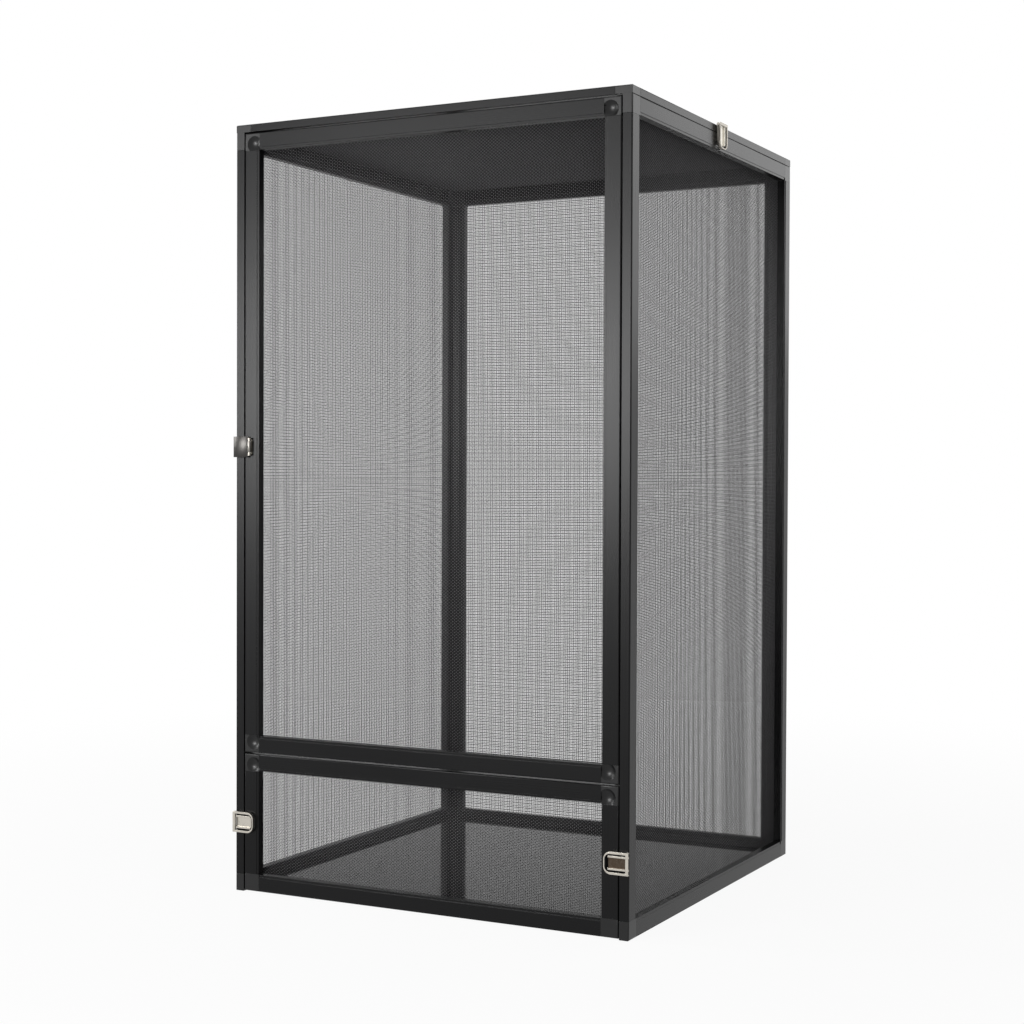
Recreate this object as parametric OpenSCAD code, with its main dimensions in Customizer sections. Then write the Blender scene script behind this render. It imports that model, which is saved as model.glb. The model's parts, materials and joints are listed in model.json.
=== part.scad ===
// Mesh reptile cage: framed screen panels round a floor tray, with two front doors and a lid.
// Lengths are in millimetres. The origin lies on the ground under the middle of the cage,
// +Z is up, and the doors face -Y.

/* [Cage] */
// Width across the doors
cage_w = 450; // [350:5:600]
// Depth from the doors to the back
cage_d = 450; // [350:5:600]
// Height from the ground to the top of the lid
cage_h = 800; // [500:5:1200]
// Height of the line between the two doors
split_z = 145.4; // [110:0.1:250]

/* [Frames] */
// Width of a frame rail, seen face on
rail_w = 17.5; // [16:0.5:24]
// Thickness of the wall and door frames
frame_t = 10; // [9:0.5:14]
// Thickness of the lid frame
lid_t = 8; // [7:0.5:12]
// Wall of the hollow rails
rail_wall = 1.2; // [0.8:0.1:1.6]
// Rounding of a frame's outer edge
edge_r = 1.2; // [0.6:0.1:1.6]
// Width of the set-back lip along a rail's inner edge
lip_w = 2.5; // [1:0.1:3]
// Depth of that lip below the outer face
lip_drop = 0.6; // [0.2:0.1:1.2]

/* [Corner connectors] */
// How far a connector reaches past the width of the rails
corner_extra = 0.5; // [0:0.1:2]
// Length of the legs that plug into the rails
leg_l = 12; // [6:1:25]
// Radius of the scoop in a connector's outer face
scoop_mouth_r = 8.5; // [5:0.1:9]
// Depth of that scoop
scoop_depth = 4; // [1:0.1:5]
// Distance of the scoop's middle from a connector's outer edges
scoop_in = 11.5; // [10:0.1:13]

/* [Screens] */
// Depth of the seat for the mesh below a frame's inside face
seat_drop = 1; // [0.6:0.1:1.5]
// Width of the groove for the spline
groove_w = 2.5; // [2:0.1:3]
// Depth of the groove below the mesh seat
groove_depth = 2; // [1.5:0.1:3]
// Distance of the groove from a rail's inner edge
groove_edge = 3; // [2:0.1:4]
// Thickness of the mesh
mesh_t = 0.5; // [0.3:0.1:0.8]
// Width of a strand of the mesh
strand_w = 1.5; // [0.5:0.1:3]
// Spacing of the strands
strand_pitch = 62; // [50:1:120]
// How far the spline stands above the mesh seat
spline_proud = 0.5; // [0.1:0.1:0.9]

/* [Doors] */
// Gap on each side of the doors
door_gap = 1; // [0.7:0.1:2]
// Gap above the upper door and between the doors
leaf_gap = 1.6; // [1.5:0.1:3]
// Gap between the lower door and the ground
ground_gap = 1; // [0.8:0.1:3]
// Radius of the pins that the doors turn on
pivot_r = 1; // [0.8:0.1:1.2]
// Distance of those pins from a door's edge and outer face
pivot_in = 2.6; // [2.2:0.1:3]
// Length of the lower door's pins inside the side frames
pivot_reach = 3; // [2:0.5:6]
// Thickness of the hinge brackets in the gaps
bracket_t = 0.7; // [0.5:0.05:0.8]
// Thickness of the hinge brackets' flange
flange_t = 1.2; // [0.8:0.1:1.5]
// Height of that flange
flange_h = 12; // [8:1:30]

/* [Floor tray] */
// Height of the floor above the ground
floor_z = 9; // [6:0.5:11]
// Thickness of the floor sheet
floor_t = 3; // [2:0.5:4]
// Thickness of the skirt that the sheet stands on
skirt_t = 2; // [1.5:0.5:4]

/* [Latches] */
// Length of the latches of the lower door, from the edge of the cage
door_latch_l = 24.5; // [22:0.5:28]
// How far those latches stand past the edge of the cage
door_latch_out = 1.1; // [0:0.1:1.5]
// Length of the latches of the lid
lid_latch_l = 27; // [24:0.5:29]
// Width of a latch lever
latch_w = 21.5; // [18:0.5:26]
// Height of a lever's top above the frame
latch_h = 4.7; // [4.5:0.1:6]
// Thickness of the latch sheet
latch_t = 0.8; // [0.6:0.1:1]
// How far a lid latch stands above the lid
lid_latch_rise = 2.5; // [1:0.5:4]
// Rounding of a lever's nose
nose_r = 7.5; // [4:0.5:8]
// Width of the rim at the sides of a lever's window
rim_w = 2.2; // [1.2:0.1:2.6]
// Width of the rim at a lever's nose
nose_rim_w = 1.2; // [0.8:0.1:2]
// Width of the bar at a lever's other end
end_bar_w = 3; // [2:0.1:3.4]
// Thickness of the cheeks that carry a latch pin
cheek_t = 1.8; // [0.8:0.1:2]
// How far the upper latch's pin is from the edge of its door
upper_pin_in = 7.5; // [2:0.1:9]
// How far the upper latch is below the middle of its door
upper_latch_drop = 3.2; // [0:0.1:20]
// Rise of the upper latch's arched lever
arch_rise = 1.5; // [1:0.1:2]
// Radius of that lever's rolled end
roll_r = 1.9; // [1.7:0.1:2]
// Radius of the latch pin
latch_pin_r = 0.9; // [0.7:0.1:1]

/* [Hidden] */
$fn = 48;
overrun = 1;

// Clearances
leg_clear = 0.15;
spline_clear = 0.05;
mesh_clear = 0.1;
pivot_clear = 0.05;
pin_end_clear = 0.25;
bore_end_clear = 0.3;
tray_clear = 0.2;
tray_swing_clear = 1;
bridge_clear = 0.4;

// Colours
frame_black = [0.16, 0.16, 0.17];
connector_black = [0.13, 0.13, 0.14];
mesh_black = [0.2, 0.2, 0.21];
spline_black = [0.09, 0.09, 0.1];
floor_grey = [0.27, 0.27, 0.28];
nickel = [0.8, 0.78, 0.74];

// Overall places
half_w = cage_w / 2;
half_d = cage_d / 2;
wall_h = cage_h - lid_t;
inner_w = cage_w - 2 * frame_t;
inner_x = inner_w / 2;
front_inner_y = frame_t - half_d;

// Doors
door_w = inner_w - 2 * door_gap;
door_x = -door_w / 2;
upper_z = split_z + leaf_gap / 2;
upper_h = wall_h - leaf_gap - upper_z;
lower_h = split_z - leaf_gap / 2 - ground_gap;
pivot_x = door_w / 2 - pivot_in;
pivot_y = pivot_in - half_d;
pivot_l = leaf_gap - pin_end_clear;
pivot_root = corner_extra + pivot_in;

// Rails and connectors
corner_a = rail_w + corner_extra;
seat_p = rail_w - groove_edge - groove_w;
hollow_w = seat_p - 2 * rail_wall;
mesh_p = rail_w - groove_edge + mesh_clear;
scoop_r = (scoop_mouth_r * scoop_mouth_r + scoop_depth * scoop_depth) / (2 * scoop_depth);

// Hinge brackets
bracket_margin = 2;
flange_set = 1.1;
flange_lap = 0.3;
flange_l = 8;

// Latches, seen from the cage's edge towards the nose
lid_lever_end = 0.3;
pin_in = 1.9;
cheek_r = 1.5;
cheek_set = 3.2;
upper_cheek_set = 2.2;
base_end = 4;
lever_skirt_z = 1.2;
pin_head_r = 1.5;
pin_head_t = 1.4;
strike_t = 0.5;
strike_edge = 0.7;
lid_pin_x = pin_in + lid_lever_end;
door_pin_x = pin_in - door_latch_out;
latch_pin_z = latch_h - latch_t - bridge_clear - cheek_r;
ear_r = latch_pin_z - bridge_clear;
channel_z = strike_t + bridge_clear;
base_x = frame_t + door_gap + bridge_clear;
base_w = latch_w - 2 * (latch_t + cheek_set);
strike_w = base_w - 2 * (cheek_t + 2 * bridge_clear);
upper_base_w = latch_w - 2 * (latch_t + upper_cheek_set);
roll_l = upper_base_w - 2 * (cheek_t + bridge_clear);
upper_pin_x = frame_t + door_gap + upper_pin_in;
upper_pin_z = latch_h - roll_r;
upper_base_l = upper_pin_x + roll_r - base_x;
arch_from = -bridge_clear - latch_t;
arch_to = upper_pin_x - cheek_r - bridge_clear;
arch_half = (arch_to - arch_from) / 2;
arch_r = (arch_half * arch_half + arch_rise * arch_rise) / (2 * arch_rise);
hook_drop = 1.2;
upper_latch_z = upper_z + upper_h / 2 - upper_latch_drop;
lower_latch_z = ground_gap + lower_h / 2;

// Places of the panels: each panel has its lower left corner at the origin of its own frame,
// with its outer face in the XZ plane and its depth along +Y.
module on_left() {
    translate([-half_w, half_d, 0]) rotate([0, 0, -90]) children();
}

module on_right() {
    translate([half_w, -half_d, 0]) rotate([0, 0, 90]) children();
}

module on_back() {
    translate([inner_x, half_d, 0]) rotate([0, 0, 180]) children();
}

module on_upper() {
    translate([door_x, -half_d, upper_z]) children();
}

module on_lower() {
    translate([door_x, -half_d, ground_gap]) children();
}

module on_lid() {
    translate([-half_w, -half_d, cage_h]) rotate([-90, 0, 0]) children();
}

module flip_x(w) {
    translate([w, 0, 0]) mirror([1, 0, 0]) children();
}

module flip_z(h) {
    translate([0, 0, h]) mirror([0, 0, 1]) children();
}

// Outline with its outer edge rounded: x runs inwards from the edge, y inwards from the outer face.
module edged_outline(w, t) {
    translate([edge_r, 0]) square([w - edge_r, t]);
    translate([0, edge_r]) square([w, t - edge_r]);
    translate([edge_r, edge_r]) circle(edge_r);
}

// Section of a hollow rail with its lip, mesh seat and spline groove.
module rail_section(t) {
    difference() {
        edged_outline(rail_w, t);
        translate([rail_w - lip_w, -overrun]) square([lip_w + overrun, lip_drop + overrun]);
        translate([seat_p, t - seat_drop]) square([rail_w - seat_p + overrun, seat_drop + overrun]);
        translate([seat_p, t - seat_drop - groove_depth]) square([groove_w, groove_depth + overrun]);
        translate([rail_wall, rail_wall]) square([hollow_w, t - 2 * rail_wall]);
    }
}

// Upright rail at the left edge of a panel.
module stile(h, t) {
    translate([0, 0, corner_a]) linear_extrude(h - 2 * corner_a) rail_section(t);
}

// Level rail at the bottom edge of a panel.
module rail(w, t) {
    translate([w - corner_a, 0, 0]) rotate([0, -90, 0]) linear_extrude(w - 2 * corner_a) rail_section(t);
}

// Corner connector at the lower left of a panel, with a leg for each rail and, on some, a scoop.
module connector(t, scooped) {
    leg_a = hollow_w - 2 * leg_clear;
    leg_b = t - 2 * (rail_wall + leg_clear);
    leg_in = rail_wall + leg_clear;
    leg_reach = corner_a - leg_in + leg_l;
    difference() {
        union() {
            intersection() {
                linear_extrude(corner_a) edged_outline(corner_a, t);
                translate([corner_a, 0, 0]) rotate([0, -90, 0]) linear_extrude(corner_a)
                    edged_outline(corner_a, t);
            }
            translate([leg_in, leg_in, leg_in]) cube([leg_a, leg_b, leg_reach]);
            translate([leg_in, leg_in, leg_in]) cube([leg_reach, leg_b, leg_a]);
        }
        if (scooped) translate([scoop_in, scoop_depth - scoop_r, scoop_in]) sphere(scoop_r);
        translate([seat_p, t - seat_drop, seat_p]) cube([corner_a, seat_drop + overrun, corner_a]);
        translate([seat_p, t - seat_drop - groove_depth, seat_p]) {
            cube([groove_w, groove_depth + overrun, corner_a]);
            cube([corner_a, groove_depth + overrun, groove_w]);
        }
    }
}

module connectors(w, h, t, low_scoops = false, high_scoops = false) {
    connector(t, low_scoops);
    flip_x(w) connector(t, low_scoops);
    flip_z(h) connector(t, high_scoops);
    flip_x(w) flip_z(h) connector(t, high_scoops);
}

// Screen of a panel: a border strand and a grid of strands on the mesh seat.
module screen(w, h, t) {
    screen_w = w - 2 * mesh_p;
    screen_h = h - 2 * mesh_p;
    columns = max(1, round((screen_w - strand_w) / strand_pitch));
    rows = max(1, round((screen_h - strand_w) / strand_pitch));
    step_x = (screen_w - strand_w) / columns;
    step_z = (screen_h - strand_w) / rows;
    translate([mesh_p, t - seat_drop + mesh_t, mesh_p]) rotate([90, 0, 0]) linear_extrude(mesh_t)
        difference() {
            square([screen_w, screen_h]);
            for (i = [0 : columns - 1], j = [0 : rows - 1])
                translate([strand_w + i * step_x, strand_w + j * step_z])
                    square([step_x - strand_w, step_z - strand_w]);
        }
}

// Spline that holds a panel's mesh in its groove.
module spline(w, h, t) {
    out_p = seat_p + spline_clear;
    in_p = seat_p + groove_w - spline_clear;
    high = groove_depth + spline_proud;
    translate([0, t - seat_drop + spline_proud, 0]) rotate([90, 0, 0]) linear_extrude(high)
        difference() {
            translate([out_p, out_p]) square([w - 2 * out_p, h - 2 * out_p]);
            translate([in_p, in_p]) square([w - 2 * in_p, h - 2 * in_p]);
        }
}

// Left side panel
module left_front_stile() {
    color(frame_black) on_left() flip_x(cage_d) stile(wall_h, frame_t);
}

module left_rear_stile() {
    color(frame_black) on_left() stile(wall_h, frame_t);
}

module left_top_rail() {
    color(frame_black) on_left() flip_z(wall_h) rail(cage_d, frame_t);
}

module left_bottom_rail() {
    color(frame_black) on_left() rail(cage_d, frame_t);
}

module left_corners() {
    color(connector_black) difference() {
        on_left() connectors(cage_d, wall_h, frame_t);
        pivot_sockets();
    }
}

module left_mesh() {
    color(mesh_black) on_left() screen(cage_d, wall_h, frame_t);
}

module left_spline() {
    color(spline_black) on_left() spline(cage_d, wall_h, frame_t);
}

// Right side panel
module right_front_stile() {
    color(frame_black) on_right() stile(wall_h, frame_t);
}

module right_rear_stile() {
    color(frame_black) on_right() flip_x(cage_d) stile(wall_h, frame_t);
}

module right_top_rail() {
    color(frame_black) on_right() flip_z(wall_h) rail(cage_d, frame_t);
}

module right_bottom_rail() {
    color(frame_black) on_right() rail(cage_d, frame_t);
}

module right_corners() {
    color(connector_black) difference() {
        on_right() connectors(cage_d, wall_h, frame_t);
        pivot_sockets();
    }
}

module right_mesh() {
    color(mesh_black) on_right() screen(cage_d, wall_h, frame_t);
}

module right_spline() {
    color(spline_black) on_right() spline(cage_d, wall_h, frame_t);
}

// Back panel
module back_left_stile() {
    color(frame_black) on_back() flip_x(inner_w) stile(wall_h, frame_t);
}

module back_right_stile() {
    color(frame_black) on_back() stile(wall_h, frame_t);
}

module back_top_rail() {
    color(frame_black) on_back() flip_z(wall_h) rail(inner_w, frame_t);
}

module back_bottom_rail() {
    color(frame_black) on_back() rail(inner_w, frame_t);
}

module back_corners() {
    color(connector_black) on_back() connectors(inner_w, wall_h, frame_t);
}

module back_mesh() {
    color(mesh_black) on_back() screen(inner_w, wall_h, frame_t);
}

module back_spline() {
    color(spline_black) on_back() spline(inner_w, wall_h, frame_t);
}

// Upper door, which turns on pins at its right edge
module upper_left_stile() {
    color(frame_black) on_upper() stile(upper_h, frame_t);
}

module upper_right_stile() {
    color(frame_black) on_upper() flip_x(door_w) stile(upper_h, frame_t);
}

module upper_top_rail() {
    color(frame_black) on_upper() flip_z(upper_h) rail(door_w, frame_t);
}

module upper_bottom_rail() {
    color(frame_black) on_upper() rail(door_w, frame_t);
}

module upper_corners() {
    color(connector_black) {
        on_upper() connectors(door_w, upper_h, frame_t, low_scoops = true, high_scoops = true);
        for (z = [upper_z - pivot_l, upper_z + upper_h - pivot_root])
            translate([pivot_x, pivot_y, z]) cylinder(r = pivot_r, h = pivot_l + pivot_root);
    }
}

module upper_mesh() {
    color(mesh_black) on_upper() screen(door_w, upper_h, frame_t);
}

module upper_spline() {
    color(spline_black) on_upper() spline(door_w, upper_h, frame_t);
}

// Lower door, which drops forward on pins at its bottom edge
module lower_left_stile() {
    color(frame_black) on_lower() stile(lower_h, frame_t);
}

module lower_right_stile() {
    color(frame_black) on_lower() flip_x(door_w) stile(lower_h, frame_t);
}

module lower_top_rail() {
    color(frame_black) on_lower() flip_z(lower_h) rail(door_w, frame_t);
}

module lower_bottom_rail() {
    color(frame_black) on_lower() rail(door_w, frame_t);
}

module lower_corners() {
    pin_l = pivot_root + door_gap + pivot_reach;
    color(connector_black) {
        on_lower() connectors(door_w, lower_h, frame_t, high_scoops = true);
        on_lower() for (side = [0, 1])
            translate([side * door_w, pivot_in, pivot_in]) mirror([side, 0, 0])
                translate([pivot_root, 0, 0]) rotate([0, -90, 0]) cylinder(r = pivot_r, h = pin_l);
    }
}

// Holes in the side frames for the lower door's pins.
module pivot_sockets() {
    reach = pivot_reach + bore_end_clear;
    for (side = [0, 1]) mirror([side, 0, 0])
        translate([inner_x - overrun, pivot_y, ground_gap + pivot_in]) rotate([0, 90, 0])
            cylinder(r = pivot_r + pivot_clear, h = reach + overrun);
}

module lower_mesh() {
    color(mesh_black) on_lower() screen(door_w, lower_h, frame_t);
}

module lower_spline() {
    color(spline_black) on_lower() spline(door_w, lower_h, frame_t);
}

// Lid, which lies on the walls
module lid_left_rail() {
    color(frame_black) on_lid() stile(cage_d, lid_t);
}

module lid_right_rail() {
    color(frame_black) on_lid() flip_x(cage_w) stile(cage_d, lid_t);
}

module lid_front_rail() {
    color(frame_black) on_lid() rail(cage_w, lid_t);
}

module lid_rear_rail() {
    color(frame_black) on_lid() flip_z(cage_d) rail(cage_w, lid_t);
}

module lid_corners() {
    color(connector_black) on_lid() connectors(cage_w, cage_d, lid_t);
}

module lid_mesh() {
    color(mesh_black) on_lid() screen(cage_w, cage_d, lid_t);
}

module lid_spline() {
    color(spline_black) on_lid() spline(cage_w, cage_d, lid_t);
}

// Floor sheet on a skirt that stands on the ground
module floor_tray() {
    tray_w = inner_w - 2 * tray_clear;
    tray_d = cage_d - 2 * frame_t - tray_swing_clear - tray_clear;
    color(floor_grey) translate([-tray_w / 2, front_inner_y + tray_swing_clear, 0]) difference() {
        cube([tray_w, tray_d, floor_z]);
        translate([skirt_t, skirt_t, -overrun])
            cube([tray_w - 2 * skirt_t, tray_d - 2 * skirt_t, floor_z - floor_t + overrun]);
    }
}

// Hinge bracket of the upper door: a plate in the gap and a flange on the right side frame.
module hinge_bracket() {
    plate_x = pivot_x - bracket_margin;
    plate_y = pivot_y - bracket_margin;
    flange_y = front_inner_y + flange_set;
    difference() {
        union() {
            translate([plate_x, plate_y, -bracket_t / 2])
                cube([inner_x - plate_x, flange_y + flange_lap - plate_y, bracket_t]);
            translate([inner_x - flange_t, flange_y, bracket_t / 2 - flange_h])
                cube([flange_t, flange_l, flange_h]);
        }
        translate([pivot_x, pivot_y, -overrun]) cylinder(r = pivot_r + pivot_clear, h = 2 * overrun);
    }
}

module hinge_brackets() {
    color(connector_black) for (z = [split_z, wall_h - leaf_gap / 2])
        translate([0, 0, z]) hinge_bracket();
}

// Places of the latches: x runs from the cage's edge to the nose, and z away from the frame.
module at_left(z) {
    translate([-half_w, -half_d, z]) rotate([90, 0, 0]) children();
}

module at_right(z) {
    translate([half_w, -half_d, z]) rotate([-90, 0, 180]) children();
}

module at_lid_left() {
    translate([-half_w, 0, cage_h + lid_latch_rise]) rotate([0, 90, 180]) children();
}

module at_lid_right() {
    translate([half_w, 0, cage_h + lid_latch_rise]) rotate([0, 90, 0]) children();
}

// Plan of a lever: a square start and a rounded nose.
module lever_plan(start, l, w, r) {
    translate([start, -w / 2]) square([l - r - start, w]);
    translate([start, r - w / 2]) square([l - start, w - 2 * r]);
    for (side = [-1, 1]) translate([l - r, side * (w / 2 - r)]) circle(r);
}

// Cheeks of a latch base, seen from the side: a round end for the pin, on a foot.
module cheeks(w, pin_x, pin_z, foot_x, foot_l, foot_z, foot_h) {
    for (side = [-1, 1])
        translate([0, side * (w - cheek_t) / 2 + cheek_t / 2, 0])
            rotate([90, 0, 0]) linear_extrude(cheek_t) difference() {
                union() {
                    translate([pin_x, pin_z]) circle(cheek_r);
                    translate([foot_x, foot_z]) square([foot_l, foot_h]);
                }
                translate([pin_x, pin_z]) circle(latch_pin_r + pivot_clear);
            }
}

// Base of a latch: a foot on the frame, and a channel that reaches over the edge next to it.
module latch_base(l, pin_x) {
    floor_x = pin_x + latch_pin_r + bridge_clear;
    end_x = l - base_end;
    translate([base_x, -base_w / 2, 0]) cube([end_x - base_x, base_w, channel_z + latch_t]);
    translate([floor_x, -base_w / 2, channel_z]) cube([end_x - floor_x, base_w, latch_t]);
    cheeks(base_w, pin_x, latch_pin_z, pin_x, end_x - pin_x, bridge_clear,
        latch_h - latch_t - 2 * bridge_clear);
}

// Base of the upper latch: a short plate at the edge of the door, with the cheeks on it.
module upper_base() {
    translate([base_x, -upper_base_w / 2, 0]) cube([upper_base_l, upper_base_w, latch_t]);
    cheeks(upper_base_w, upper_pin_x, upper_pin_z, upper_pin_x - cheek_r, 2 * cheek_r, 0, upper_pin_z);
}

// Plain rod across a latch, such as a pin or the hole for one.
module rod(x, z, l, r) {
    translate([x, l / 2, z]) rotate([90, 0, 0]) cylinder(r = r, h = l);
}

// Pin of the upper latch, with a head on each side.
module headed_pin() {
    head_y = upper_base_w / 2 + pivot_clear;
    rod(upper_pin_x, upper_pin_z, 2 * head_y, latch_pin_r);
    for (side = [0, 1]) mirror([0, side, 0])
        translate([upper_pin_x, head_y + pin_head_t, upper_pin_z]) rotate([90, 0, 0])
            cylinder(r = pin_head_r, h = pin_head_t);
}

// Lever of a latch: an open plate with a turned-down rim, which ends in an ear on each end of the pin.
module latch_lever(l, pin_x) {
    end_x = pin_x - pin_in;
    difference() {
        union() {
            translate([0, 0, latch_h - latch_t]) linear_extrude(latch_t) difference() {
                lever_plan(end_x, l, latch_w, nose_r);
                lever_plan(end_x + end_bar_w, l - nose_rim_w, latch_w - 2 * rim_w, nose_r - rim_w);
            }
            translate([0, 0, lever_skirt_z]) linear_extrude(latch_h - lever_skirt_z) difference() {
                lever_plan(pin_x, l, latch_w, nose_r);
                lever_plan(pin_x - overrun, l - latch_t, latch_w - 2 * latch_t, nose_r - latch_t);
            }
            difference() {
                rod(pin_x, latch_pin_z, latch_w, ear_r);
                rod(pin_x, latch_pin_z, latch_w - 2 * latch_t, ear_r + overrun);
            }
        }
        rod(pin_x, latch_pin_z, latch_w + 2 * overrun, latch_pin_r + pivot_clear);
    }
}

// Lever of the upper latch: an arched plate over the post, turned down at the cage's edge.
module arched_lever() {
    difference() {
        union() {
            translate([0, latch_w / 2, 0]) rotate([90, 0, 0]) linear_extrude(latch_w) {
                intersection() {
                    translate([arch_from + arch_half, latch_h - arch_r]) difference() {
                        circle(arch_r, $fn = 4 * $fn);
                        circle(arch_r - latch_t, $fn = 4 * $fn);
                    }
                    translate([arch_from, 0]) square([2 * arch_half, latch_h]);
                }
                translate([arch_from, -hook_drop])
                    square([latch_t, hook_drop + latch_h - arch_rise - latch_t / 2]);
            }
            translate([arch_to - latch_t, -roll_l / 2, upper_pin_z - latch_t / 2])
                cube([upper_pin_x - arch_to + latch_t, roll_l, latch_t]);
            rod(upper_pin_x, upper_pin_z, roll_l, roll_r);
        }
        rod(upper_pin_x, upper_pin_z, latch_w, latch_pin_r + pivot_clear);
    }
}

// Strike of a latch: a thin plate under its channel, on the edge that the latch reaches over.
module strike(edge, edge_t) {
    from = edge + edge_r + strike_edge;
    translate([from, -strike_w / 2, 0]) cube([edge + edge_t - bridge_clear - from, strike_w, strike_t]);
}

module door_strikes() {
    color(nickel) {
        at_left(lower_latch_z) strike(0, frame_t);
        at_right(lower_latch_z) strike(0, frame_t);
    }
}

module lid_strikes() {
    color(nickel) {
        at_lid_left() strike(lid_latch_rise, lid_t);
        at_lid_right() strike(lid_latch_rise, lid_t);
    }
}

module upper_latch_base() {
    color(nickel) at_left(upper_latch_z) upper_base();
}

module lower_latch_bases() {
    color(nickel) {
        at_left(lower_latch_z) latch_base(door_latch_l, door_pin_x);
        at_right(lower_latch_z) latch_base(door_latch_l, door_pin_x);
    }
}

module lid_latch_bases() {
    color(nickel) {
        at_lid_left() latch_base(lid_latch_l, lid_pin_x);
        at_lid_right() latch_base(lid_latch_l, lid_pin_x);
    }
}

module upper_latch_pin() {
    color(nickel) at_left(upper_latch_z) headed_pin();
}

module lower_latch_pins() {
    color(nickel) {
        at_left(lower_latch_z) rod(door_pin_x, latch_pin_z, latch_w, latch_pin_r);
        at_right(lower_latch_z) rod(door_pin_x, latch_pin_z, latch_w, latch_pin_r);
    }
}

module lid_latch_pins() {
    color(nickel) {
        at_lid_left() rod(lid_pin_x, latch_pin_z, latch_w, latch_pin_r);
        at_lid_right() rod(lid_pin_x, latch_pin_z, latch_w, latch_pin_r);
    }
}

module upper_latch_lever() {
    color(nickel) at_left(upper_latch_z) arched_lever();
}

module lower_left_latch_lever() {
    color(nickel) at_left(lower_latch_z) latch_lever(door_latch_l, door_pin_x);
}

module lower_right_latch_lever() {
    color(nickel) at_right(lower_latch_z) latch_lever(door_latch_l, door_pin_x);
}

module lid_left_latch_lever() {
    color(nickel) at_lid_left() latch_lever(lid_latch_l, lid_pin_x);
}

module lid_right_latch_lever() {
    color(nickel) at_lid_right() latch_lever(lid_latch_l, lid_pin_x);
}

left_front_stile();
left_rear_stile();
left_top_rail();
left_bottom_rail();
left_corners();
left_mesh();
left_spline();
right_front_stile();
right_rear_stile();
right_top_rail();
right_bottom_rail();
right_corners();
right_mesh();
right_spline();
back_left_stile();
back_right_stile();
back_top_rail();
back_bottom_rail();
back_corners();
back_mesh();
back_spline();
upper_left_stile();
upper_right_stile();
upper_top_rail();
upper_bottom_rail();
upper_corners();
upper_mesh();
upper_spline();
lower_left_stile();
lower_right_stile();
lower_top_rail();
lower_bottom_rail();
lower_corners();
lower_mesh();
lower_spline();
lid_left_rail();
lid_right_rail();
lid_front_rail();
lid_rear_rail();
lid_corners();
lid_mesh();
lid_spline();
floor_tray();
hinge_brackets();
door_strikes();
lid_strikes();
upper_latch_base();
lower_latch_bases();
lid_latch_bases();
upper_latch_pin();
lower_latch_pins();
lid_latch_pins();
upper_latch_lever();
lower_left_latch_lever();
lower_right_latch_lever();
lid_left_latch_lever();
lid_right_latch_lever();
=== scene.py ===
"""Looks for a tall screen cage.

Satin black rails, moulded corner connectors, fine wire screens and nickel plated lever latches
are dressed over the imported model, which stands on a white studio floor.
"""

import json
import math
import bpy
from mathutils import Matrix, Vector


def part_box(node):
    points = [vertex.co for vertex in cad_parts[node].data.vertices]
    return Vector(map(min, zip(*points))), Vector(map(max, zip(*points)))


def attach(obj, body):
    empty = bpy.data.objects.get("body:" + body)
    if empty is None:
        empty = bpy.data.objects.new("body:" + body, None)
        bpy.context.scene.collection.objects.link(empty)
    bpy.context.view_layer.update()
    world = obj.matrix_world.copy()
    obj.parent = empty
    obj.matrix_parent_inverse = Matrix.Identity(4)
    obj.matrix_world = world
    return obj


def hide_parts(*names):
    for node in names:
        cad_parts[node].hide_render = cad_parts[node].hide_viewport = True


bl_info = {
    "name": "Screen Cage",
    "version": (1, 0, 0),
    "blender": (4, 5, 0),
    "location": "View3D > Sidebar > Screen Cage",
    "description": "Dresses a packed screen cage with wire screens and finishes, in a white studio",
    "category": "Object",
}

import bpy
from bpy.props import FloatProperty, FloatVectorProperty, IntProperty, PointerProperty
from mathutils import Matrix, Vector

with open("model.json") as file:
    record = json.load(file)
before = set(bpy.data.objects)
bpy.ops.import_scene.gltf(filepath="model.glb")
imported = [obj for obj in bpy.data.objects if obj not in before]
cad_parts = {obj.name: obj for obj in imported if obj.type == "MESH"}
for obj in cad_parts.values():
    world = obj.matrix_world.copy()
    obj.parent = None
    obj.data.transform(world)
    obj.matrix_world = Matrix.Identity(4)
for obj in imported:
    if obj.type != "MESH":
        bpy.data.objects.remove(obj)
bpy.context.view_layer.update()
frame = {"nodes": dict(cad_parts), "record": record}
SLOT_OF = {part["node"]: part["material_slot"] for part in frame["record"]["subparts"]}
BODY_OF = {
    node: body
    for body, nodes in frame["record"]["behaviour"]["bodies"].items()
    for node in nodes
}
DOOR_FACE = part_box("upper_left_stile")[0].y

# The part of 0 to 1 that a noise value mostly keeps to
NOISE_LOW, NOISE_HIGH = 0.3, 0.7

# Painted light on the latches' plate, in metres: the height over which a raised face turns from painted
# shade to bright, the places between which the door latches' painted shade sets in from left to right,
# and the distances from the pin between which the painted highlight of the arched lever's rolled end sets
# in
BRIGHT_RISE = 0.0006
SHADE_START_X, SHADE_END_X = -0.05, 0.05
ROLL_LIGHT_START, ROLL_LIGHT_END = 0.0005, 0.0001

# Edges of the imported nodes: the gap that is welded, and the angle from which an edge is rounded
WELD_GAP = 0.00001
EDGE_ANGLE = math.radians(38.0)

# The studio's floor: half its width, its share of the paper's white, its glow near the cage and away
# from it, and the distances between which the glow changes
FLOOR_HALF = 30.0
PAPER_SHARE = 0.65
GLOW_NEAR, GLOW_AWAY = 0.93, 1.0
FADE_START, FADE_END = 0.4, 1.6

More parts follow.
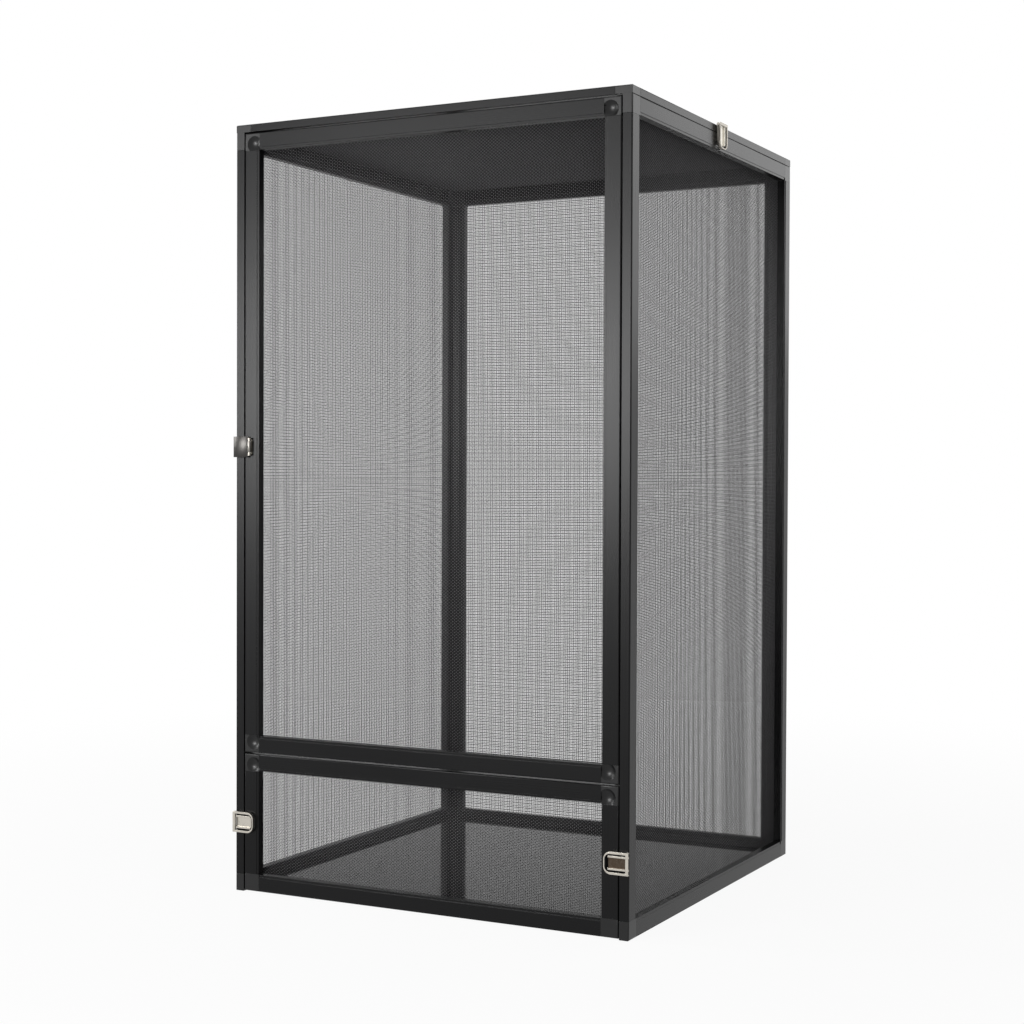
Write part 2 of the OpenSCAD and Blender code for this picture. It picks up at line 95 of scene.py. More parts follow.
# The soft boxes: place, aim, width and height, and the setting that holds the power
FACE, MIDDLE, RIGHT_WALL = (-0.05, -0.225, 0.52), (0.0, 0.0, 0.45), (0.225, 0.0, 0.5)
SOFT_BOXES = {
    "key_box": ((-0.97, -2.06, 0.64), FACE, (0.95, 0.45), "key_power"),
    "high_box": ((-0.9, -2.15, 1.1), FACE, (1.0, 0.6), "high_power"),
    "left_box": ((-2.1, -0.75, 0.95), MIDDLE, (0.5, 0.9), "left_power"),
    "side_box": ((1.25, 2.4, 1.35), RIGHT_WALL, (1.2, 1.2), "side_power"),
    "fill_box": ((2.2, -0.5, 1.5), MIDDLE, (1.2, 1.2), "fill_power"),
    "top_box": ((0.0, 0.0, 2.6), MIDDLE, (1.6, 1.6), "top_power"),
}

# The camera: place and clip distances in metres, angles in radians, sensor in millimetres
CAMERA_PLACE = (0.905745, -1.774949, 0.432690)
CAMERA_YAW, CAMERA_DIP, CAMERA_ROLL = 0.479265, 0.018247, 0.003705
SENSOR_WIDTH = 36.0
CLIP_NEAR, CLIP_FAR = 0.05, 100.0


# Settings

def colour(name, description, default):
    """A colour setting, in linear red, green and blue."""
    return FloatVectorProperty(
        name=name, description=description, default=default, subtype="COLOR", size=3, min=0, max=1
    )


def length(name, description, default):
    """A length setting in metres."""
    return FloatProperty(
        name=name, description=description, default=default, min=0, precision=5,
        subtype="DISTANCE", unit="LENGTH",
    )


def watts(name, description, default):
    """A lamp's power setting in watts."""
    return FloatProperty(
        name=name, description=description, default=default, min=0, subtype="POWER", unit="POWER"
    )


class ScreenCageSizes(bpy.types.PropertyGroup):
    """Sizes of the wire screens and of the small edge rounds."""

    pitch_across: length("Pitch across", "Distance from one upright wire of a screen to the next", 0.0020)
    pitch_up: length("Pitch up", "Distance from one level wire of a screen to the next", 0.00156)
    upright_wire: length("Upright wire", "Thickness of one upright wire with its coat", 0.00036)
    level_wire: length("Level wire", "Thickness of one level wire with its coat", 0.000435)
    left_share: FloatProperty(
        name="Left share",
        description="Pitch and wire of the left wall's cloth, as a share of the doors'",
        default=0.70, min=0.5, max=1.5, subtype="FACTOR",
    )
    back_share: FloatProperty(
        name="Back share",
        description="Pitch and wire of the back wall's cloth, as a share of the doors'",
        default=0.80, min=0.5, max=1.5, subtype="FACTOR",
    )
    wire_sink: FloatProperty(
        name="Wire sink",
        description="Share of an upright wire's thickness that a level wire sinks into it",
        default=0.15, min=0, max=0.5, subtype="FACTOR",
    )
    wire_sides: IntProperty(
        name="Wire sides", description="Flats round one wire", default=6, min=4, max=12
    )
    rail_edge: length("Rail edge", "Round on the sharp edges of the extruded rails", 0.00035)
    connector_edge: length("Connector edge", "Round on the sharp edges of the moulded corners", 0.0002)
    latch_edge: length("Latch edge", "Round on the pressed edges of the latches", 0.0002)
    pin_edge: length("Pin edge", "Round on the heads of the latch pins", 0.0005)
    # Painted shade: a latch's plate below this height over the door's face is darker, standing in for the
    # shade in the lever's hollow
    recess: length("Recess", "Height over the door's face up to which a latch's plate is dull", 0.0019)


class ScreenCageColours(bpy.types.PropertyGroup):
    """Colours of the finishes."""

    rail: colour("Rails", "Satin black coat of the rails", (0.0028, 0.0028, 0.0031))
    connector: colour("Connectors", "Moulded black of the corner connectors", (0.0030, 0.0030, 0.0032))
    wire: colour("Wires", "Black coat of the screen wires", (0.056, 0.055, 0.057))
    spline: colour("Splines", "Rubber cord that holds a screen in its rail", (0.010, 0.010, 0.010))
    floor_sheet: colour("Floor sheet", "Black plastic sheet of the cage floor", (0.005, 0.005, 0.0052))
    bracket: colour("Brackets", "Black steel of the hinge brackets", (0.012, 0.012, 0.012))
    nickel: colour("Nickel", "Nickel plate of the latches and strikes", (0.44, 0.415, 0.37))
    # Painted shade: this brown dark of the door latches' hollows stands in for shade and dark reflections
    # there
    hollow_shade: colour("Tarnish", "Browned plate in the hollow of a latch", (0.060, 0.045, 0.033))
    # Painted reflection: a darkened nickel that stands in for the dark surroundings the arched lever
    # reflects
    reflection_dark_nickel: colour("Smoked nickel", "Dark plate of the arched lever", (0.045, 0.043, 0.041))
    # Painted highlight: a lighter nickel for the arched lever's rolled end
    roll_highlight_nickel: colour("Rubbed nickel", "Plate at the arched lever's rolled end", (0.19, 0.18, 0.165))
    # Painted light: a paler copy of the latches' nickel, so that the lid's latch bases read lit
    lit_nickel: colour("Pale nickel", "Dull pale plate of the lid's latch bases", (0.80, 0.77, 0.70))


class ScreenCageStage(bpy.types.PropertyGroup):
    """The studio round the cage."""

    paper: colour("Paper", "White of the floor and the background", (1.0, 1.0, 1.0))
    surround: FloatProperty(
        name="Surround", description="Strength of the even light from all round", default=0.22, min=0
    )
    key_power: watts("Key power", "Power of the soft box in front, on the left", 32.0)
    high_power: watts("High power", "Power of the weaker soft box above the key", 6.0)
    left_power: watts("Left power", "Power of the soft box beside the cage, on the left", 18.0)
    side_power: watts("Side power", "Power of the soft box behind, on the right", 7.0)
    fill_power: watts("Fill power", "Power of the soft box beside the cage, on the right", 8.5)
    top_power: watts("Top power", "Power of the soft box overhead", 18.0)
    lens: FloatProperty(
        name="Lens", description="Focal length of the camera, in millimetres", default=63.71, min=1
    )


def sizes():
    """The size settings of the scene."""
    return bpy.context.scene.screen_cage_sizes


def colours():
    """The colour settings of the scene."""
    return bpy.context.scene.screen_cage_colours


# Finishes

class Finish:
    """A procedural material on a principled shader, with the few nodes that the finishes share."""

    def __init__(self, name):
        self.material = bpy.data.materials.new(name)
        self.material.use_nodes = True
        self.tree = self.material.node_tree
        self.tree.nodes.clear()
        self.shader = self.node("ShaderNodeBsdfPrincipled")
        output = self.node("ShaderNodeOutputMaterial")
        self.join(self.shader.outputs["BSDF"], output.inputs["Surface"])
        self.place = self.node("ShaderNodeTexCoord").outputs["Object"]

    def node(self, kind):
        """A new node of the material."""
        return self.tree.nodes.new(kind)

    def join(self, source, target):
        """A link from one node's output to another's input."""
        self.tree.links.new(source, target)

    def constants(self, **values):
        """Numbers that are the same all over, set on the shader's own sockets."""
        for socket, value in values.items():
            self.shader.inputs[socket.replace("_", " ")].default_value = value

    def noise(self, scale, stretch=(1, 1, 1), detail=3.0, roughness=0.55, shift=0.0):
        """Noise over the piece, in cells per metre, drawn out along the axes with a small stretch."""
        mapping = self.node("ShaderNodeMapping")
        mapping.inputs["Scale"].default_value = stretch
        mapping.inputs["Location"].default_value = (shift, shift, shift)
        self.join(self.place, mapping.inputs["Vector"])
        noise = self.node("ShaderNodeTexNoise")
        noise.inputs["Scale"].default_value = scale
        noise.inputs["Detail"].default_value = detail
        noise.inputs["Roughness"].default_value = roughness
        self.join(mapping.outputs["Vector"], noise.inputs["Vector"])
        return noise.outputs["Fac"]

    def axis(self, letter):
        """The place along one axis, in metres."""
        parts = self.node("ShaderNodeSeparateXYZ")
        self.join(self.place, parts.inputs["Vector"])
        return parts.outputs[letter]

    def maths(self, operation, *values):
        """A value worked out from other values and plain numbers."""
        node = self.node("ShaderNodeMath")
        node.operation = operation
        for socket, value in zip(node.inputs, values):
            if isinstance(value, float):
                socket.default_value = value
            else:
                self.join(value, socket)
        return node.outputs["Value"]

    def crossing_glints(self, pitches):
        """1 at the crossings where a wire comes to the front and 0 at those between, by turns; it places
        the wires' painted highlights and painted shade.
        """
        waves = [
            self.maths("COSINE", self.maths("MULTIPLY", self.axis(letter), math.pi / pitch))
            for letter, pitch in pitches.items()
        ]
        return self.span(self.maths("MULTIPLY", *waves), low=0.0, high=1.0, start=-1.0, end=1.0)

    def span(self, value, low, high, start=NOISE_LOW, end=NOISE_HIGH):
        """A 0 to 1 value spread from low to high."""
        spread = self.node("ShaderNodeMapRange")
        spread.inputs["From Min"].default_value = start
        spread.inputs["From Max"].default_value = end
        spread.inputs["To Min"].default_value = low
        spread.inputs["To Max"].default_value = high
        self.join(value, spread.inputs["Value"])
        return spread.outputs["Result"]

    def blend(self, value, first, second, start=NOISE_LOW, end=NOISE_HIGH):
        """A colour between two others, by a 0 to 1 value."""
        ramp = self.node("ShaderNodeValToRGB")
        for element, place, shade in zip(ramp.color_ramp.elements, (start, end), (first, second)):
            element.position = place
            element.color = (*shade, 1.0)
        self.join(value, ramp.inputs["Fac"])
        self.join(ramp.outputs["Color"], self.shader.inputs["Base Color"])

    def tint(self, value, base, low, high, start=NOISE_LOW, end=NOISE_HIGH):
        """The base colour, shaded from low to high times itself by a 0 to 1 value."""
        first, second = ([min(1.0, channel * share) for channel in base] for share in (low, high))
        self.blend(value, first, second, start, end)

    def add(self, first, second, share):
        """The first value plus a share of the second."""
        return self.maths("MULTIPLY_ADD", second, share, first)

    def rough(self, value, low, high):
        """Roughness from low to high, by a 0 to 1 value."""
        self.join(self.span(value, low, high), self.shader.inputs["Roughness"])

    def bump(self, height, strength, distance):
        """A fine relief in the light, of a height in metres."""
        bump = self.node("ShaderNodeBump")
        bump.inputs["Strength"].default_value = strength
        bump.inputs["Distance"].default_value = distance
        self.join(height, bump.inputs["Height"])
        self.join(bump.outputs["Normal"], self.shader.inputs["Normal"])


def cloth_share(node):
    """The far walls' cloth is finer, which keeps rings and lines from forming between two screens."""
    shares = {"left": sizes().left_share, "back": sizes().back_share}
    return shares.get(node.split("_")[0], 1.0)


def wire_pitches(flat, share):
    """The distance between wires along each of the two axes of a screen that is flat along the third."""
    across, up = [axis for axis in range(3) if axis != flat]
    return {across: sizes().pitch_across * share, up: sizes().pitch_up * share}


def along(axis, drawn_out):
    """A stretch that draws noise out along one axis."""
    return tuple(drawn_out if i == axis else 1.0 for i in range(3))


def satin_coat(name, axis):
    """Satin black coat on an extruded rail: faint draw lines along the rail and a fine coat grain."""
    finish = Finish(name)
    draw_lines = finish.noise(scale=1400.0, stretch=along(axis, drawn_out=0.004), detail=4.0)
    coat_grain = finish.noise(scale=2600.0, detail=2.0, shift=3.1)
    patches = finish.noise(scale=9.0, stretch=along(axis, drawn_out=0.35), detail=4.0, shift=7.7)
    finish.tint(patches, colours().rail, low=0.86, high=1.16)
    finish.rough(finish.add(patches, draw_lines, share=0.35), low=0.22, high=0.28)
    finish.bump(finish.add(coat_grain, draw_lines, share=0.8), strength=0.06, distance=0.00004)
    finish.constants(Metallic=0.0, Specular_IOR_Level=0.15)
    return finish.material


def moulded_black(name):
    """Moulded black plastic with a fine spark-eroded grain."""
    finish = Finish(name)
    grain = finish.noise(scale=1900.0, detail=3.0, roughness=0.65)
    flow = finish.noise(scale=60.0, detail=3.0, shift=5.2)
    finish.tint(flow, colours().connector, low=0.85, high=1.2)
    finish.rough(finish.add(flow, grain, share=0.5), low=0.26, high=0.34)
    finish.bump(grain, strength=0.16, distance=0.00005)
    finish.constants(Metallic=0.0, Specular_IOR_Level=0.3)
    return finish.material


def coated_wire(name, flat, share):
    """Black coat on woven wires, with a painted highlight where a wire comes to the front and painted
    shade where it dips behind.
    """
    finish = Finish(name)
    crossing_glints = finish.crossing_glints({"XYZ"[axis]: pitch for axis, pitch in wire_pitches(flat, share).items()})
    beads = finish.noise(scale=900.0, detail=2.0)
    runs = finish.noise(scale=35.0, detail=3.0, shift=2.4)
    # Painted highlight and shade: the wire's colour runs from black at crossings where it dips behind to
    # 2.4 times its coat where it comes to the front
    finish.tint(crossing_glints, colours().wire, low=0.0, high=2.4, start=0.15, end=0.85)
    finish.rough(finish.add(runs, beads, share=0.4), low=0.34, high=0.5)
    finish.bump(beads, strength=0.2, distance=0.00003)
    finish.constants(Metallic=0.0, Specular_IOR_Level=0.2)
    return finish.material


def rubber_cord(name):
    """Matt rubber with a dry bloom."""
    finish = Finish(name)
    bloom = finish.noise(scale=120.0, detail=4.0)
    pores = finish.noise(scale=2200.0, detail=2.0, shift=1.7)
    finish.tint(bloom, colours().spline, low=0.8, high=1.5)
    finish.rough(bloom, low=0.7, high=0.88)
    finish.bump(pores, strength=0.2, distance=0.00005)
    finish.constants(Metallic=0.0, Specular_IOR_Level=0.3)
    return finish.material


def gloss_sheet(name):
    """Black plastic sheet with a polished face, a faint waviness and a thin film of dust."""
    finish = Finish(name)
    waves = finish.noise(scale=9.0, detail=1.0, shift=2.9)
    dust = finish.noise(scale=40.0, detail=6.0, roughness=0.65)
    finish.tint(dust, colours().floor_sheet, low=0.8, high=1.5)
    finish.rough(dust, low=0.05, high=0.1)
    finish.bump(waves, strength=0.04, distance=0.0004)
    finish.constants(Metallic=0.0, Specular_IOR_Level=0.37)
    return finish.material


def black_steel(name):
    """Thin black coat on bent steel."""
    finish = Finish(name)
    grain = finish.noise(scale=1500.0, detail=3.0)
    rub = finish.noise(scale=90.0, detail=4.0, shift=4.4)
    finish.tint(rub, colours().bracket, low=0.8, high=1.6)
    finish.rough(rub, low=0.32, high=0.46)
    finish.bump(grain, strength=0.12, distance=0.00004)
    finish.constants(Metallic=0.0, Specular_IOR_Level=0.3)
    return finish.material


def plate_surface(finish, low, high):
    """Plated pressed steel with fine handling marks; gives the mottle that a colour can follow."""
    mottle = finish.noise(scale=160.0, detail=4.0)
    marks = finish.noise(scale=2400.0, stretch=along(2, drawn_out=0.06), detail=3.0, shift=6.3)
    finish.rough(finish.add(mottle, marks, share=0.5), low, high)
    finish.bump(marks, strength=0.08, distance=0.00003)
    finish.constants(Metallic=1.0)
    return mottle


def nickel_plate(name, base, low, high):
    """Nickel plate with a soft mottle."""
    finish = Finish(name)
    mottle = plate_surface(finish, low, high)
    finish.tint(mottle, base, low=0.88, high=1.08)
    return finish.material


def worn_nickel_plate(name, base, hollow_shade, low, high):
    """Nickel plate with painted light: bright at the left and where it stands up, and painted shade in
    the hollow at the right.
    """
    finish = Finish(name)
    plate_surface(finish, low, high)
    dull = DOOR_FACE - sizes().recess
    # Painted shade: dark below the recess height, bright above it
    raised = finish.span(finish.axis("Y"), low=1.0, high=0.0, start=dull - BRIGHT_RISE, end=dull)
    # Painted light: the latches on the left are kept bright, and those on the right take the painted
    # shade
    left = finish.span(finish.axis("X"), low=1.0, high=0.0, start=SHADE_START_X, end=SHADE_END_X)
    # The grime noise is random tone laid over the painted light
    grime = finish.noise(scale=700.0, detail=3.0, shift=8.1)
    bright = finish.add(finish.maths("MAXIMUM", raised, left), grime, share=0.3)
    finish.blend(bright, hollow_shade, base, start=0.15, end=1.0)
    return finish.material


def dark_reflection_plate(name, dark_reflection, roll_highlight, low, high):
    """Nickel plate of the arched lever, darkened all over as a painted dark reflection, with a painted
    highlight at the end that is rolled round the pin.
    """
    finish = Finish(name)
    plate_surface(finish, low, high)
    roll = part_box("upper_latch_pin")[0].x
    # Painted highlight: the colour turns from the dark painted reflection to the lighter nickel at the
    # rolled end
    roll_highlight_share = finish.span(finish.axis("X"), low=0.0, high=1.0, start=roll - ROLL_LIGHT_START, end=roll - ROLL_LIGHT_END)
    finish.blend(roll_highlight_share, dark_reflection, roll_highlight, start=0.0, end=1.0)
    return finish.material


def nodes_with(slot):
    """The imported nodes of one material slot, by name."""
    found = {name: obj for name, obj in sorted(frame["nodes"].items()) if SLOT_OF.get(name) == slot}
    if not found:
        raise RuntimeError(f"no packed node has the slot {slot}")
    return found


def extent(node):
    """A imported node's length along each axis."""
    low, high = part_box(node)
    return high - low


def coat(obj, material):
    """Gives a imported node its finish."""
    obj.data.materials.clear()
    obj.data.materials.append(material)


def round_edges(obj, width, steps=2):
    """Small rounds on the sharp edges, so that they catch the light as worked edges do."""
    weld = obj.modifiers.new("weld", "WELD")
    weld.merge_threshold = WELD_GAP
    bevel = obj.modifiers.new("edge", "BEVEL")
    bevel.width = width
    bevel.segments = steps
    bevel.limit_method = "ANGLE"
    bevel.angle_limit = EDGE_ANGLE
    bevel.use_clamp_overlap = True
    bevel.harden_normals = True


# Wire screens

def wire_ring(centre, first, second, radius, count):
    """Points round one end of a wire."""
    return [
        centre + first * (radius * math.cos(turn)) + second * (radius * math.sin(turn))
        for turn in (2 * math.pi * (i + 0.5) / count for i in range(count))
    ]


def add_wire(points, faces, start, end, first, second, radius, count):
    """One straight wire with closed ends."""
    base = len(points)
    points.extend(wire_ring(start, first, second, radius, count))
    points.extend(wire_ring(end, first, second, radius, count))
    for i in range(count):
        after = (i + 1) % count
        faces.append((base + i, base + after, base + count + after, base + count + i))
    faces.append(tuple(base + i for i in reversed(range(count))))
    faces.append(tuple(base + count + i for i in range(count)))


def thin_axis(node):
    """The axis along which a flat node is thinnest."""
    span = extent(node)
    return min(range(3), key=lambda i: span[i])


def wire_screen(node, material):
    """A screen of two layers of straight wires, fast where they cross, in the place of a packed net."""
    low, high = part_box(node)
    flat = thin_axis(node)
    share = cloth_share(node)
    pitches = wire_pitches(flat, share)
    across, up = pitches
    outward = 1.0 if low[flat] + high[flat] > 0 else -1.0
    radius = {up: sizes().upright_wire * share / 2, across: sizes().level_wire * share / 2}
    face = high[flat] if outward > 0 else low[flat]
    depth = {
        up: face - outward * radius[up],
        across: face - outward * (2 * radius[up] * (1 - sizes().wire_sink) + radius[across]),
    }
    axes = [Vector((i == 0, i == 1, i == 2)) for i in range(3)]
    points, faces = [], []
    for run, step in ((up, across), (across, up)):
        first = math.ceil((low[step] + radius[run]) / pitches[step])
        last = math.floor((high[step] - radius[run]) / pitches[step])
        for i in range(first, last + 1):
            start = Vector((0, 0, 0))
            start[flat] = depth[run]
            start[step] = i * pitches[step]
            end = start.copy()
            start[run], end[run] = low[run], high[run]
            sides = axes[(run + 1) % 3], axes[(run + 2) % 3]
            add_wire(points, faces, start, end, *sides, radius[run], sizes().wire_sides)
    mesh = bpy.data.meshes.new(node.replace("_mesh", "_screen"))
    mesh.from_pydata(points, [], faces)
    mesh.polygons.foreach_set("use_smooth", [len(face) == 4 for face in faces])
    mesh.materials.append(material)
    mesh.validate()
    screen = bpy.data.objects.new(mesh.name, mesh)
    bpy.context.scene.collection.objects.link(screen)
    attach(screen, BODY_OF[node])
    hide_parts(node)


# Operators

class SCREENCAGE_OT_rails(bpy.types.Operator):
    """Coat the extruded rails and stiles of the panels, the doors and the lid"""

    bl_idname = "screen_cage.rails"
    bl_label = "Rails and Stiles"

    def execute(self, context):
        coats = [satin_coat(f"satin_black_{axis}", i) for i, axis in enumerate("xyz")]
        for name, obj in nodes_with("frame").items():
            span = extent(name)
            coat(obj, coats[max(range(3), key=lambda i: span[i])])
            round_edges(obj, sizes().rail_edge)
        return {"FINISHED"}


class SCREENCAGE_OT_connectors(bpy.types.Operator):
    """Finish the moulded connectors at the corners of each frame"""

    bl_idname = "screen_cage.connectors"
    bl_label = "Corner Connectors"

    def execute(self, context):
        material = moulded_black("moulded_black")
        for obj in nodes_with("connector").values():
            coat(obj, material)
            round_edges(obj, sizes().connector_edge)
        return {"FINISHED"}


class SCREENCAGE_OT_screens(bpy.types.Operator):
    """Make the fine wire screens of the walls, the doors and the lid"""

    bl_idname = "screen_cage.screens"
    bl_label = "Wire Screens"

    def execute(self, context):
        coats = {}
        for name in nodes_with("mesh"):
            cloth = thin_axis(name), cloth_share(name)
            if cloth not in coats:
                coats[cloth] = coated_wire(f"coated_wire_{name.split('_')[0]}", *cloth)
            wire_screen(name, coats[cloth])
        return {"FINISHED"}


class SCREENCAGE_OT_splines(bpy.types.Operator):
    """Finish the rubber cords that hold the screens in their rails"""

    bl_idname = "screen_cage.splines"
    bl_label = "Screen Splines"

    def execute(self, context):
        material = rubber_cord("rubber_cord")
        for obj in nodes_with("spline").values():
            coat(obj, material)
        return {"FINISHED"}


class SCREENCAGE_OT_floor_sheet(bpy.types.Operator):
    """Finish the sheet that closes the bottom of the cage"""

    bl_idname = "screen_cage.floor_sheet"
    bl_label = "Floor Sheet"

    def execute(self, context):
        material = gloss_sheet("gloss_sheet")
        for obj in nodes_with("floor").values():
            coat(obj, material)
            round_edges(obj, sizes().rail_edge)
        return {"FINISHED"}


class SCREENCAGE_OT_brackets(bpy.types.Operator):
    """Finish the bent brackets that carry the upper door's pins"""

    bl_idname = "screen_cage.brackets"
    bl_label = "Hinge Brackets"

    def execute(self, context):
        material = black_steel("black_steel")
        for obj in nodes_with("bracket").values():
            coat(obj, material)
        return {"FINISHED"}


class SCREENCAGE_OT_latches(bpy.types.Operator):
    """Plate the latch bases, levers and strikes, and their pins"""

    bl_idname = "screen_cage.latches"
    bl_label = "Latches"

    def execute(self, context):
        shades = colours()
        recess_shaded = worn_nickel_plate(
            "worn_nickel_plate", shades.nickel, shades.hollow_shade, low=0.18, high=0.3
        )
        dark_reflection = dark_reflection_plate(
            "smoked_nickel_plate", shades.reflection_dark_nickel, shades.roll_highlight_nickel, low=0.24, high=0.34
        )
        satin = nickel_plate("satin_nickel_plate", shades.nickel, low=0.4, high=0.52)
        # Painted light: the lid's latch bases get the paler copy of the nickel
        lit_plate = nickel_plate("pale_nickel_plate", shades.lit_nickel, low=0.44, high=0.56)
        plates = {"upper_latch_lever": dark_reflection, "lid_latch_bases": lit_plate}
        for name, obj in nodes_with("latch").items():
            coat(obj, plates.get(name, satin if name.startswith("lid_") else recess_shaded))
            round_edges(obj, sizes().latch_edge)
        for obj in nodes_with("latch_pin").values():
            coat(obj, satin)
            round_edges(obj, sizes().pin_edge, steps=3)
        return {"FINISHED"}


# Stage

def background_rays(tree):
    """1 for the rays that show the background: seen straight on, in a reflection or through glass."""
    path = tree.nodes.new("ShaderNodeLightPath")
    seen = path.outputs["Is Camera Ray"]
    for ray in ("Is Glossy Ray", "Is Transmission Ray"):
        either = tree.nodes.new("ShaderNodeMath")
        either.operation = "MAXIMUM"
        tree.links.new(seen, either.inputs[0])
        tree.links.new(path.outputs[ray], either.inputs[1])
        seen = either.outputs["Value"]
    return seen


def white_surround(stage):
    """A white background for the eye, and an even softer light for the rest."""
    world = bpy.data.worlds.new("white_surround")
    bpy.context.scene.world = world
    world.use_nodes = True
    tree = world.node_tree
    tree.nodes.clear()
    even, white = tree.nodes.new("ShaderNodeBackground"), tree.nodes.new("ShaderNodeBackground")
    for shade, strength in ((even, stage.surround), (white, 1.0)):
        shade.inputs["Color"].default_value = (*stage.paper, 1.0)
        shade.inputs["Strength"].default_value = strength
    mix = tree.nodes.new("ShaderNodeMixShader")
    output = tree.nodes.new("ShaderNodeOutputWorld")
    tree.links.new(background_rays(tree), mix.inputs["Fac"])
    tree.links.new(even.outputs["Background"], mix.inputs[1])
    tree.links.new(white.outputs["Background"], mix.inputs[2])
    tree.links.new(mix.outputs["Shader"], output.inputs["Surface"])


def paper_floor(stage):
    """A white paper floor that keeps a faint shadow of the cage."""
    corners = [(x * FLOOR_HALF, y * FLOOR_HALF, 0) for x, y in ((-1, -1), (1, -1), (1, 1), (-1, 1))]
    mesh = bpy.data.meshes.new("paper_floor")
    mesh.from_pydata(corners, [], [(0, 1, 2, 3)])
    floor = bpy.data.objects.new("paper_floor", mesh)
    bpy.context.scene.collection.objects.link(floor)
    material = bpy.data.materials.new("white_paper")
    material.use_nodes = True
    tree = material.node_tree
    tree.nodes.clear()
    paper, glow = tree.nodes.new("ShaderNodeBsdfDiffuse"), tree.nodes.new("ShaderNodeEmission")
    paper.inputs["Color"].default_value = (*(PAPER_SHARE * channel for channel in stage.paper), 1.0)
    glow.inputs["Color"].default_value = (*stage.paper, 1.0)
    glow.inputs["Strength"].default_value = 1.0
    away = tree.nodes.new("ShaderNodeVectorMath")
    away.operation = "LENGTH"
    tree.links.new(tree.nodes.new("ShaderNodeNewGeometry").outputs["Position"], away.inputs[0])
    fade = tree.nodes.new("ShaderNodeMapRange")
    fade.interpolation_type = "SMOOTHSTEP"
    fade.inputs["From Min"].default_value = FADE_START
    fade.inputs["From Max"].default_value = FADE_END
    fade.inputs["To Min"].default_value = GLOW_NEAR
    fade.inputs["To Max"].default_value = GLOW_AWAY
    tree.links.new(away.outputs["Value"], fade.inputs["Value"])
    share = tree.nodes.new("ShaderNodeMath")
    share.operation = "MULTIPLY"
    tree.links.new(background_rays(tree), share.inputs[0])
    tree.links.new(fade.outputs["Result"], share.inputs[1])
    mix = tree.nodes.new("ShaderNodeMixShader")
    output = tree.nodes.new("ShaderNodeOutputMaterial")
    tree.links.new(share.outputs["Value"], mix.inputs["Fac"])
    tree.links.new(paper.outputs["BSDF"], mix.inputs[1])
    tree.links.new(glow.outputs["Emission"], mix.inputs[2])
    tree.links.new(mix.outputs["Shader"], output.inputs["Surface"])
    mesh.materials.append(material)


def soft_box(name, place, aim, width, height, power):
    """A flat soft light that the camera doesn't see."""
    light = bpy.data.lights.new(name, "AREA")
    light.shape = "RECTANGLE"
    light.size, light.size_y = width, height
    light.energy = power
    lamp = bpy.data.objects.new(name, light)
    lamp.location = place
    lamp.rotation_euler = (Vector(aim) - Vector(place)).to_track_quat("-Z", "Y").to_euler()
    lamp.visible_camera = False
    bpy.context.scene.collection.objects.link(lamp)


def stand_camera(stage):
    """The camera, a little to the right of the doors and just above the middle of the cage."""
    flat, lift = math.cos(CAMERA_DIP), math.sin(CAMERA_DIP)
    ahead = Vector((-math.sin(CAMERA_YAW) * flat, math.cos(CAMERA_YAW) * flat, -lift))
    level = ahead.cross(Vector((0, 0, 1))).normalized()
    upright = level.cross(ahead)
    right = math.cos(CAMERA_ROLL) * level + math.sin(CAMERA_ROLL) * upright
    up = math.cos(CAMERA_ROLL) * upright - math.sin(CAMERA_ROLL) * level
    data = bpy.data.cameras.new("camera")
    data.lens = stage.lens
    data.sensor_width = SENSOR_WIDTH
    data.sensor_fit = "HORIZONTAL"
    data.clip_start, data.clip_end = CLIP_NEAR, CLIP_FAR
    camera = bpy.data.objects.new("camera", data)
    rows = [(right[i], up[i], -ahead[i], CAMERA_PLACE[i]) for i in range(3)]
    camera.matrix_world = Matrix((*rows, (0, 0, 0, 1)))
    bpy.context.scene.collection.objects.link(camera)
    bpy.context.scene.camera = camera


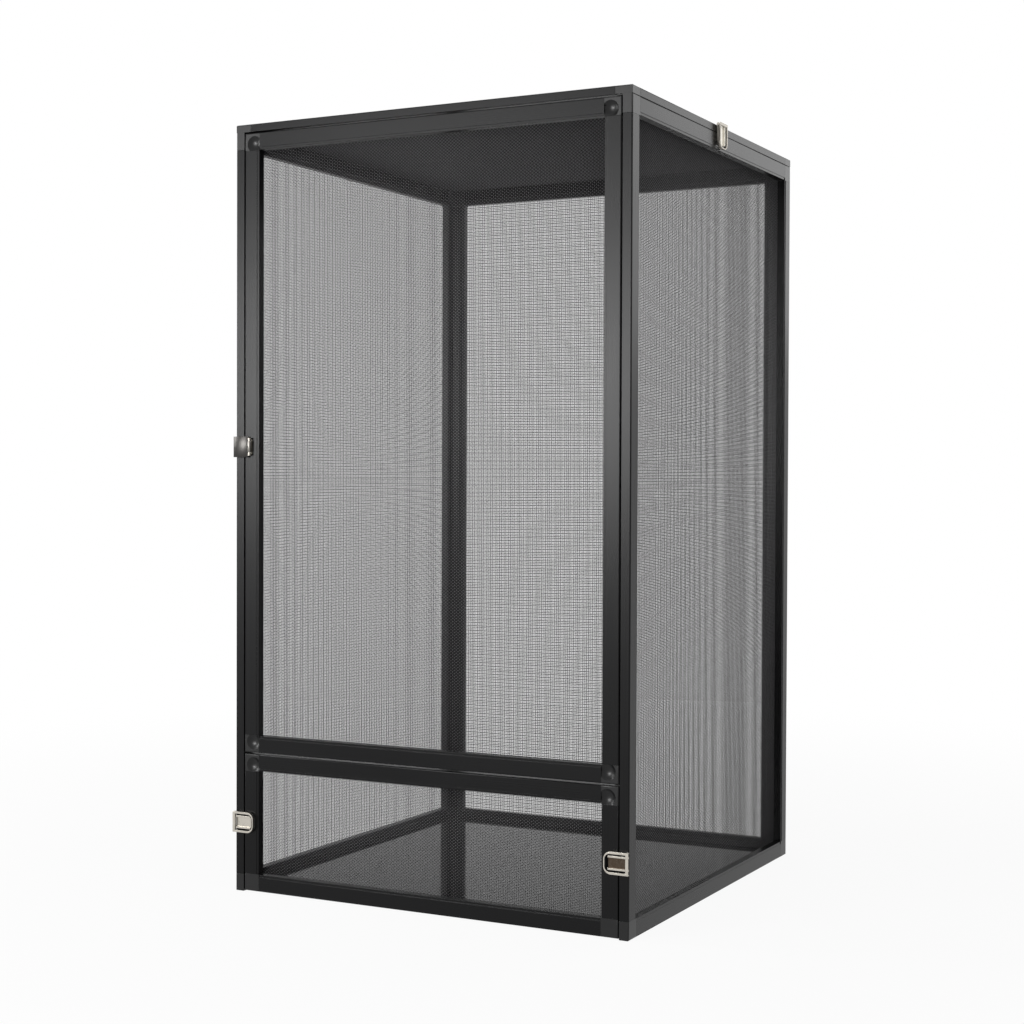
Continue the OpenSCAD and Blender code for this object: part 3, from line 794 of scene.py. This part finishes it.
class SCREENCAGE_OT_stage(bpy.types.Operator):
    """Set the white floor, the soft lights and the camera"""

    bl_idname = "screen_cage.stage"
    bl_label = "Studio"

    def execute(self, context):
        stage = context.scene.screen_cage_stage
        context.scene.view_settings.view_transform = "Standard"
        white_surround(stage)
        paper_floor(stage)
        for name, (place, aim, (width, height), setting) in SOFT_BOXES.items():
            soft_box(name, place, aim, width, height, power=getattr(stage, setting))
        stand_camera(stage)
        return {"FINISHED"}


class SCREENCAGE_PT_panel(bpy.types.Panel):
    """Lists the steps and settings of the screen cage"""

    bl_label = "Screen Cage"
    bl_idname = "SCREENCAGE_PT_panel"
    bl_space_type = "VIEW_3D"
    bl_region_type = "UI"
    bl_category = "Screen Cage"

    def draw(self, context):
        column = self.layout.column(align=True)
        for step in STEPS:
            column.operator(step.bl_idname)
        scene = context.scene
        for group in (scene.screen_cage_sizes, scene.screen_cage_colours, scene.screen_cage_stage):
            box = self.layout.box()
            for name in group.__annotations__:
                box.prop(group, name)


STEPS = (
    SCREENCAGE_OT_rails,
    SCREENCAGE_OT_connectors,
    SCREENCAGE_OT_screens,
    SCREENCAGE_OT_splines,
    SCREENCAGE_OT_floor_sheet,
    SCREENCAGE_OT_brackets,
    SCREENCAGE_OT_latches,
    SCREENCAGE_OT_stage,
)
GROUPS = (ScreenCageSizes, ScreenCageColours, ScreenCageStage)


def register():
    for cls in (*GROUPS, *STEPS, SCREENCAGE_PT_panel):
        bpy.utils.register_class(cls)
    bpy.types.Scene.screen_cage_sizes = PointerProperty(type=ScreenCageSizes)
    bpy.types.Scene.screen_cage_colours = PointerProperty(type=ScreenCageColours)
    bpy.types.Scene.screen_cage_stage = PointerProperty(type=ScreenCageStage)


def unregister():
    del bpy.types.Scene.screen_cage_stage
    del bpy.types.Scene.screen_cage_colours
    del bpy.types.Scene.screen_cage_sizes
    for cls in reversed((*GROUPS, *STEPS, SCREENCAGE_PT_panel)):
        bpy.utils.unregister_class(cls)


def main():
    """Runs every step."""
    register()
    bpy.ops.screen_cage.rails()
    bpy.ops.screen_cage.connectors()
    bpy.ops.screen_cage.screens()
    bpy.ops.screen_cage.splines()
    bpy.ops.screen_cage.floor_sheet()
    bpy.ops.screen_cage.brackets()
    bpy.ops.screen_cage.latches()
    bpy.ops.screen_cage.stage()


if __name__ == "__main__":
    main()
